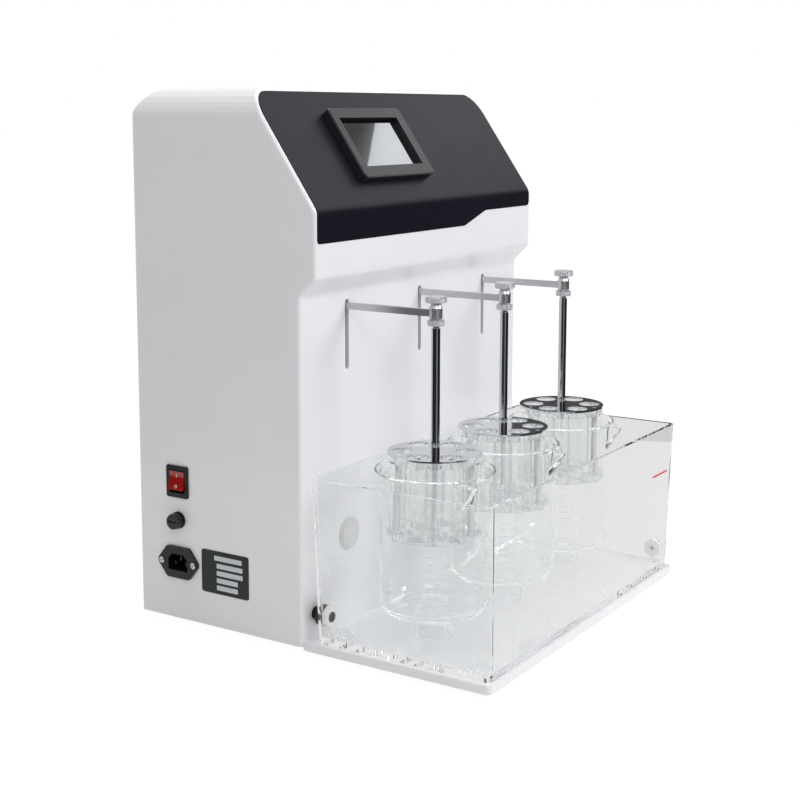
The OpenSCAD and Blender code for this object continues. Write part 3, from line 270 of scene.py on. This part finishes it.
chrome = steel("bright_chrome", shade(205, 207, 210), 0.06, (1, 1, 1), 0.002, 0.000002)
chrome.on("hanger_rod_1", "hanger_rod_2", "hanger_rod_3")
arm_steel = steel("brushed_arm_steel", shade(206, 207, 209), 0.34, (1, 0.04, 1))
arm_steel.on("arm_1", "arm_2", "arm_3")
knurl = steel("nickel_knurling", shade(214, 215, 218), 0.3, (1, 1, 1), 0.0008)
KNURL_PITCH = 0.0014
x, y, z = knurl.axes()
knurl.relief((x + y + z).wave(KNURL_PITCH) * (x - y + z).wave(KNURL_PITCH), 0.00035)
knurl.on("knob_1", "knob_2", "knob_3", "lock_nuts")
plain_screw = steel("turned_screw_steel", shade(188, 189, 192), 0.2, (1, 1, 0.2), 0.0008)
plain_screw.on("carriage_screws", "panel_screws")
bolt_steel = steel("pale_bolt_steel", shade(236, 237, 239), 0.35, (1, 1, 0.2), 0.0008)
bolt_steel.on("basket_bolts")
mirror = steel("polished_disc", shade(222, 223, 226), 0.07, (1, 1, 1), 0.003, 0.000004)
mirror.on("steel_discs")

wire = Finish("woven_steel_wire", Metallic=1.0, Roughness=0.3)
WIRE_PITCH = 0.0026
WIRE_EDGE = 0.86  # height of the wave above which there is wire
x, y, z = wire.axes()
threads = x.wave(WIRE_PITCH).either(y.wave(WIRE_PITCH))
# The wire's colour follows its height: painted shade darkens each wire towards its edges, and a
# painted highlight lightens it along its crest.
wire.set("Base Color", wire.mix(shade(120, 122, 126), shade(200, 202, 205), threads))
wire.set("Alpha", threads > WIRE_EDGE)
wire.relief(threads, 0.0003)
wire.on("mesh_discs")


# Finishes inside the tower --------------------------------------------

zinc = steel("zinc_plate", shade(176, 178, 176), 0.34, (1, 1, 1), 0.004)
zinc.on("drive_frame", "power_supply")
ground = steel("ground_steel", shade(200, 202, 204), 0.14, (1, 1, 0.1))
ground.on("guide_rods", "motor_shaft", "idler_axle", "bushings", "frame_screws")
anodised = steel("anodised_aluminium", shade(188, 190, 194), 0.38, (1, 1, 1), 0.0008)
anodised.on("crosshead", "drive_pulley", "idler_pulley")
brass = steel("milled_brass", shade(196, 164, 96), 0.3, (1, 0.05, 1), 0.0006)
brass.on("belt_clamp")
motor_black = moulded("black_motor_enamel", shade(30, 30, 32), 0.4, 0.001)
motor_black.on("motor", "circulation_pump")
belt_rubber = moulded("belt_rubber", shade(24, 24, 25), 0.75, 0.0008)
belt_rubber.on("timing_belt")
board = moulded("green_board", shade(30, 92, 60), 0.4, 0.002)
board.on("control_board")


# Pieces that the frame leaves to this script --------------------------

def piece(name, form, body, slot, *finishes):
    """The shape in a bmesh as a piece of the tester, which rides on a body."""
    mesh = bpy.data.meshes.new(name)
    form.to_mesh(mesh)
    form.free()
    made = bpy.data.objects.new(name, mesh)
    scene.collection.objects.link(made)
    for finish in finishes:
        mesh.materials.append(finish.material)
    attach(made, body)


def add_to(form, part):
    """Puts one bmesh into another."""
    spare = bpy.data.meshes.new("spare")
    part.to_mesh(spare)
    part.free()
    form.from_mesh(spare)
    bpy.data.meshes.remove(spare)


def rounded_slab(form, size, thick, radius, place, soften=0.0, finish=0):
    """Flat slab with round corners. The place takes its middle and its X, Y and Z to the part."""
    part = bmesh.new()
    bmesh.ops.create_cube(part, size=1.0)
    bmesh.ops.scale(part, vec=(size[0], size[1], thick), verts=part.verts)
    bmesh.ops.translate(part, vec=(0, 0, thick / 2), verts=part.verts)
    upright = [e for e in part.edges if abs(e.verts[0].co.z - e.verts[1].co.z) > thick / 2]
    bmesh.ops.bevel(part, geom=upright, offset=radius, offset_type="OFFSET", segments=5, profile=0.5,
                    affect="EDGES", material=-1)
    if soften:
        rim = [e for e in part.edges if min(v.co.z for v in e.verts) > thick * 0.9]
        bmesh.ops.bevel(part, geom=rim, offset=soften, offset_type="OFFSET", segments=2, profile=0.5,
                        affect="EDGES", material=-1)
    for face in part.faces:
        face.material_index = finish
    bmesh.ops.transform(part, matrix=place, verts=part.verts)
    add_to(form, part)


def facing(origin, right, up):
    """Matrix that takes X to the right, Y upwards and Z out of a face at the origin."""
    right, up = Vector(right).normalized(), Vector(up).normalized()
    turn = Matrix((right, up, right.cross(up))).transposed().to_4x4()
    return Matrix.Translation(Vector(origin)) @ turn


# Data plate on the left side, with blank fields
plate_black = moulded("black_plate_enamel", shade(14, 18, 19), 0.35, 0.0006, 0.00001,
                      Specular_IOR_Level=0.35)
field_silver = moulded("silver_plate_field", shade(198, 203, 206), 0.4, 0.0006, 0.00001, 0.93)
PLATE_SIZE, PLATE_T, PLATE_R = (0.058, 0.043), 0.0007, 0.0025
FIELD_HIGH, FIELD_T, FIELD_R = 0.0048, 0.0001, 0.0004
FIELDS = ((0.004, 0.0145, 0.034), (0.006, 0.0068, 0.032), (0.006, -0.0005, 0.032),
          (0.003, -0.0078, 0.026), (0.003, -0.0151, 0.026))  # right, up and width of each
side_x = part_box("housing_shell")[0].x
leftward = facing((side_x, 0.0917, 0.0645), (0, -1, 0), (0, 0, 1))
form = bmesh.new()
rounded_slab(form, PLATE_SIZE, PLATE_T, PLATE_R, leftward, soften=0.0002)
for right, up, wide in FIELDS:
    rounded_slab(form, (wide, FIELD_HIGH), FIELD_T, FIELD_R,
                 leftward @ Matrix.Translation((right, up, PLATE_T)), finish=1)
piece("data_plate", form, "frame", "dark_plastic", plate_black, field_silver)

# Red mark of the bath's water level
level_red = moulded("red_level_print", shade(214, 60, 40), 0.45, 0.001, 0.00001, 0.95)
LEVEL_SIZE, LEVEL_T, LEVEL_R = (0.0387, 0.0020), 0.00012, 0.0003
tank_front = facing((0.17515, -0.19910, 0.1243), (1, 0, 0), (0, 0, 1))
form = bmesh.new()
rounded_slab(form, LEVEL_SIZE, LEVEL_T, LEVEL_R, tank_front)
piece("level_mark", form, "frame", "red_plastic", level_red)

# Marks on the rocker: a bar above and a ring below, on its hollow face
mark_white = moulded("white_mark", shade(236, 236, 234), 0.4, 0.001, 0.00001, 0.97)
ROCKER_PIN = Vector((-0.199, 0.1495, 0.149))
ROCKER_TURN = Matrix.Rotation(radians(8), 4, "Y")
HOLLOW_R, HOLLOW_X = 0.034, -0.0428  # radius of the hollow face, and its axis seen from the pin
RING_STEPS, RING_OUT, RING_IN, RING_Y = 32, 0.00165, 0.00115, -0.0056
BAR_SIZE, BAR_Y = (0.0006, 0.0034), 0.0052
MARK_T = 0.00007


def to_rocker(point):
    """From a flat sheet, X to the viewer's right, Y up and Z out, to the rocker's hollow face."""
    out = HOLLOW_X + (HOLLOW_R ** 2 - point.y ** 2) ** 0.5 - point.z
    return ROCKER_PIN + ROCKER_TURN @ Vector((out, -point.x, point.y))


form = bmesh.new()
turns = [2 * pi * i / RING_STEPS for i in range(RING_STEPS)]
rings = [[form.verts.new((r * cos(a), RING_Y + r * sin(a), MARK_T)) for a in turns]
         for r in (RING_OUT, RING_IN)]
for i in range(RING_STEPS):
    j = (i + 1) % RING_STEPS
    form.faces.new((rings[0][i], rings[0][j], rings[1][j], rings[1][i]))
bar = bmesh.ops.create_grid(form, x_segments=1, y_segments=6, size=0.5)["verts"]
bmesh.ops.scale(form, vec=(*BAR_SIZE, 1), verts=bar)
bmesh.ops.translate(form, vec=(0, BAR_Y, MARK_T), verts=bar)
for vert in form.verts:
    vert.co = to_rocker(vert.co)
bmesh.ops.recalc_face_normals(form, faces=form.faces)
bmesh.ops.solidify(form, geom=form.faces, thickness=MARK_T / 2)
piece("rocker_marks", form, "rocker_switch", "pale_plastic", mark_white)

# Graduations of the beakers, in white enamel
enamel = moulded("white_enamel", shade(244, 244, 244), 0.4, 0.0015, 0.00002, 0.97)
STATION_XS, STATION_Y = (-0.128, 0.005, 0.138), -0.099
BEAKER_R, BEAKER_BORE, BEAKER_FLOOR = 0.0515, 0.0493, 0.0022  # outer radius, inner radius, floor
STEP_ML, FIRST_STEP, LAST_STEP = 50, 4, 17
SCALE_TURN = radians(-157)
TICK_T, SHORT_TICK, LONG_TICK = 0.0006, 0.006, 0.010
NUMBER_SIZE, NUMBER_X = 0.0062, 0.0118
PRINT_T = 0.00006


def number_mesh(text):
    """Flat bmesh of a number, which starts at the origin and is centred in height."""
    font = bpy.data.curves.new("number", "FONT")
    font.body = text
    font.size = NUMBER_SIZE
    font.align_y = "CENTER"
    holder = bpy.data.objects.new("number", font)
    scene.collection.objects.link(holder)
    bpy.context.view_layer.update()
    flat = bpy.data.meshes.new_from_object(holder)
    bpy.data.objects.remove(holder)
    number = bmesh.new()
    number.from_mesh(flat)
    bpy.data.meshes.remove(flat)
    bmesh.ops.triangulate(number, faces=number.faces)
    return number


def graduations(name, x):
    """Ticks every 50 ml and a number every 100 ml, fused to the beaker's outside."""
    floor_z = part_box(name)[0].z + BEAKER_FLOOR
    form = bmesh.new()
    for step in range(FIRST_STEP, LAST_STEP + 1):
        height = floor_z + step * STEP_ML * 1e-6 / (pi * BEAKER_BORE * BEAKER_BORE)
        numbered = step % 2 == 0
        wide = LONG_TICK if numbered else SHORT_TICK
        made = bmesh.ops.create_grid(form, x_segments=8, y_segments=1, size=0.5)["verts"]
        bmesh.ops.scale(form, vec=(wide, TICK_T, 1), verts=made)
        bmesh.ops.translate(form, vec=(wide / 2, height, 0), verts=made)
        if numbered:
            number = number_mesh(str(step * STEP_ML))
            bmesh.ops.translate(number, vec=(NUMBER_X, height, 0), verts=number.verts)
            add_to(form, number)
    for vert in form.verts:
        angle = SCALE_TURN + vert.co.x / BEAKER_R
        radius = BEAKER_R + PRINT_T * (0.4 + vert.co.z)
        vert.co = Vector((x + radius * cos(angle), STATION_Y + radius * sin(angle), vert.co.y))
    bmesh.ops.solidify(form, geom=form.faces, thickness=-PRINT_T)
    piece(name + "_scale", form, "frame", "beaker_glass", enamel)


for i, x in enumerate(STATION_XS):
    graduations(f"beaker_{i + 1}", x)

# Clear pieces neither darken nor bend the light that falls on what they hold
for name in ACRYLIC_NODES + GLASS_NODES:
    nodes[name].visible_shadow = False
    nodes[name].visible_diffuse = False


# Stage ----------------------------------------------------------------

def lamp(name, place, aim_z, side, power):
    """Square area lamp, aimed at a height over the tester's middle."""
    light = bpy.data.lights.new(name, "AREA")
    light.shape = "RECTANGLE"
    light.size = light.size_y = side
    light.energy = power
    made = bpy.data.objects.new(name, light)
    made.location = place
    aim = Vector((0, 0, aim_z)) - made.location
    made.rotation_euler = aim.to_track_quat("-Z", "Y").to_euler()
    scene.collection.objects.link(made)


lamp("key", (0.9, -2.2, 1.9), 0.25, 1.4, 43)
lamp("fill", (-1.8, -1.6, 1.9), 0.3, 1.0, 14)
lamp("top", (0.0, 0.3, 2.2), 0.3, 1.6, 16)


def sight(tree):
    """Whether a ray shows what it meets to the camera, and whether it came through glass."""
    rays = tree.node("ShaderNodeLightPath").socket.node
    direct, mirrored, through = (Amount(tree, rays.outputs[f"Is {kind} Ray"])
                                 for kind in ("Camera", "Glossy", "Transmission"))
    return direct.either(mirrored).either(through), through


def surface(tree, shader):
    """Makes a shader the surface of the tree's material."""
    end = tree.tree.nodes.new("ShaderNodeOutputMaterial")
    tree.join(end.inputs["Surface"], shader)


def stage_piece(name, form, paint_name):
    """A bmesh as a part of the stage, with the empty tree of its material."""
    mesh = bpy.data.meshes.new(name)
    form.to_mesh(mesh)
    form.free()
    made = bpy.data.objects.new(name, mesh)
    scene.collection.objects.link(made)
    paint = bpy.data.materials.new(paint_name)
    paint.use_nodes = True
    paint.node_tree.nodes.clear()
    mesh.materials.append(paint)
    return made, Tree(paint.node_tree)


# The world and the floor are white to the camera, and a little darker through glass
SKY_LIGHT, SKY_DIM = 0.45, 0.2  # strength that lights the tester, and what glass takes off
FLOOR_R, FLOOR_GLOW, FLOOR_DIM, FLOOR_SHARE = 30, 1.09, 0.3, 0.88
world = bpy.data.worlds.new("studio")
scene.world = world
world.use_nodes = True
sky = Tree(world.node_tree)
seen, through = sight(sky)
background = world.node_tree.nodes["Background"]
background.inputs["Color"].default_value = (1, 1, 1, 1)
sky.join(background.inputs["Strength"], SKY_LIGHT + (1 - SKY_LIGHT) * seen - SKY_DIM * through)

form = bmesh.new()
bmesh.ops.create_circle(form, cap_ends=True, segments=96, radius=FLOOR_R)
floor, sheet = stage_piece("floor", form, "studio_paper")
seen, through = sight(sheet)
matt = sheet.node("ShaderNodeBsdfDiffuse", None, {"Color": (0.8, 0.8, 0.8, 1)})
glow = sheet.node("ShaderNodeEmission", None,
                  {"Color": (1, 1, 1, 1), "Strength": FLOOR_GLOW - FLOOR_DIM * through})
surface(sheet, sheet.node("ShaderNodeMixShader", None, {0: FLOOR_SHARE * seen, 1: matt, 2: glow}))


def card(name, form, colour):
    """A part of the room that only polished faces show, such as a dark wall or a window."""
    made, lit = stage_piece(name, form, name)
    made.visible_camera = made.visible_diffuse = False
    made.visible_transmission = made.visible_shadow = False
    surface(lit, lit.node("ShaderNodeEmission", None, {"Color": colour, "Strength": 1.0}))


ROOM_R = 3.2
FLOOR_AND_WALL = ((0.9, 0.004), (ROOM_R, 0.004), (ROOM_R, 1.3))
HIGH_WALL = ((ROOM_R, 0.45), (ROOM_R, 1.5))


def bay(name, first, last, tone, outline):
    """Part of the room between two headings in degrees, from an outline in radius and height."""
    form = bmesh.new()
    steps = 12
    rows = []
    for i in range(steps + 1):
        turn = radians(first + (last - first) * i / steps)
        rows.append([form.verts.new((r * cos(turn), r * sin(turn), z)) for r, z in outline])
    for this, after in zip(rows, rows[1:]):
        for k in range(len(outline) - 1):
            form.faces.new((this[k], after[k], after[k + 1], this[k + 1]))
    card(name, form, (tone, tone, 1.06 * tone, 1))


bay("room_left", 130, 226, 0.025, FLOOR_AND_WALL)
bay("room_stripe", 226, 254, 0.3, FLOOR_AND_WALL)
bay("room_front", 254, 350, 0.02, FLOOR_AND_WALL)
bay("room_right", -10, 34, 0.085, HIGH_WALL)

# What the screen mirrors: a dark curtain on its left, a bright window on its right.
# Each outline is as it looks on the glass, X to the right and Y up the slope.
SLOPE_TURN = radians(55.25)
SLOPE_FOOT, MID_UP, MID_OUT = Vector((-0.049, -0.018, 0.421)), 0.066, 0.005
CARD_REACH = 0.9  # from the glass to the card, over the camera's distance from the glass
up = Vector((0, cos(SLOPE_TURN), sin(SLOPE_TURN)))
face_out = Vector((1, 0, 0)).cross(up)
glass_mid = SLOPE_FOOT + MID_UP * up + MID_OUT * face_out
mirrored = camera.location - 2 * (camera.location - glass_mid).dot(face_out) * face_out
HALF, LEFT, RIGHT, EDGE_LOW, EDGE_HIGH = 0.034, -0.06, 0.06, -0.0515, 0.026
WINDOW = ((EDGE_LOW, -HALF), (RIGHT, -HALF), (RIGHT, HALF), (EDGE_HIGH, HALF))
CURTAIN = ((LEFT, -HALF), (EDGE_LOW, -HALF), (EDGE_HIGH, HALF), (LEFT, HALF))
for name, outline, tone in (("window", WINDOW, 3.6), ("curtain", CURTAIN, 0.05)):
    form = bmesh.new()
    on_glass = [glass_mid + Vector((x, 0, 0)) + y * up for x, y in outline]
    form.faces.new([form.verts.new(p + CARD_REACH * (p - mirrored)) for p in on_glass])
    card(name, form, (0.93 * tone, 0.96 * tone, tone, 1))


# Render ---------------------------------------------------------------

scene.view_settings.view_transform = "Standard"
# Light that is caught inside the clear slabs leaves them only after many bounces
CLEAR_BOUNCES = 96
scene.cycles.max_bounces = CLEAR_BOUNCES
scene.cycles.transmission_bounces = CLEAR_BOUNCES
scene.cycles.glossy_bounces = CLEAR_BOUNCES
scene.cycles.transparent_max_bounces = 16
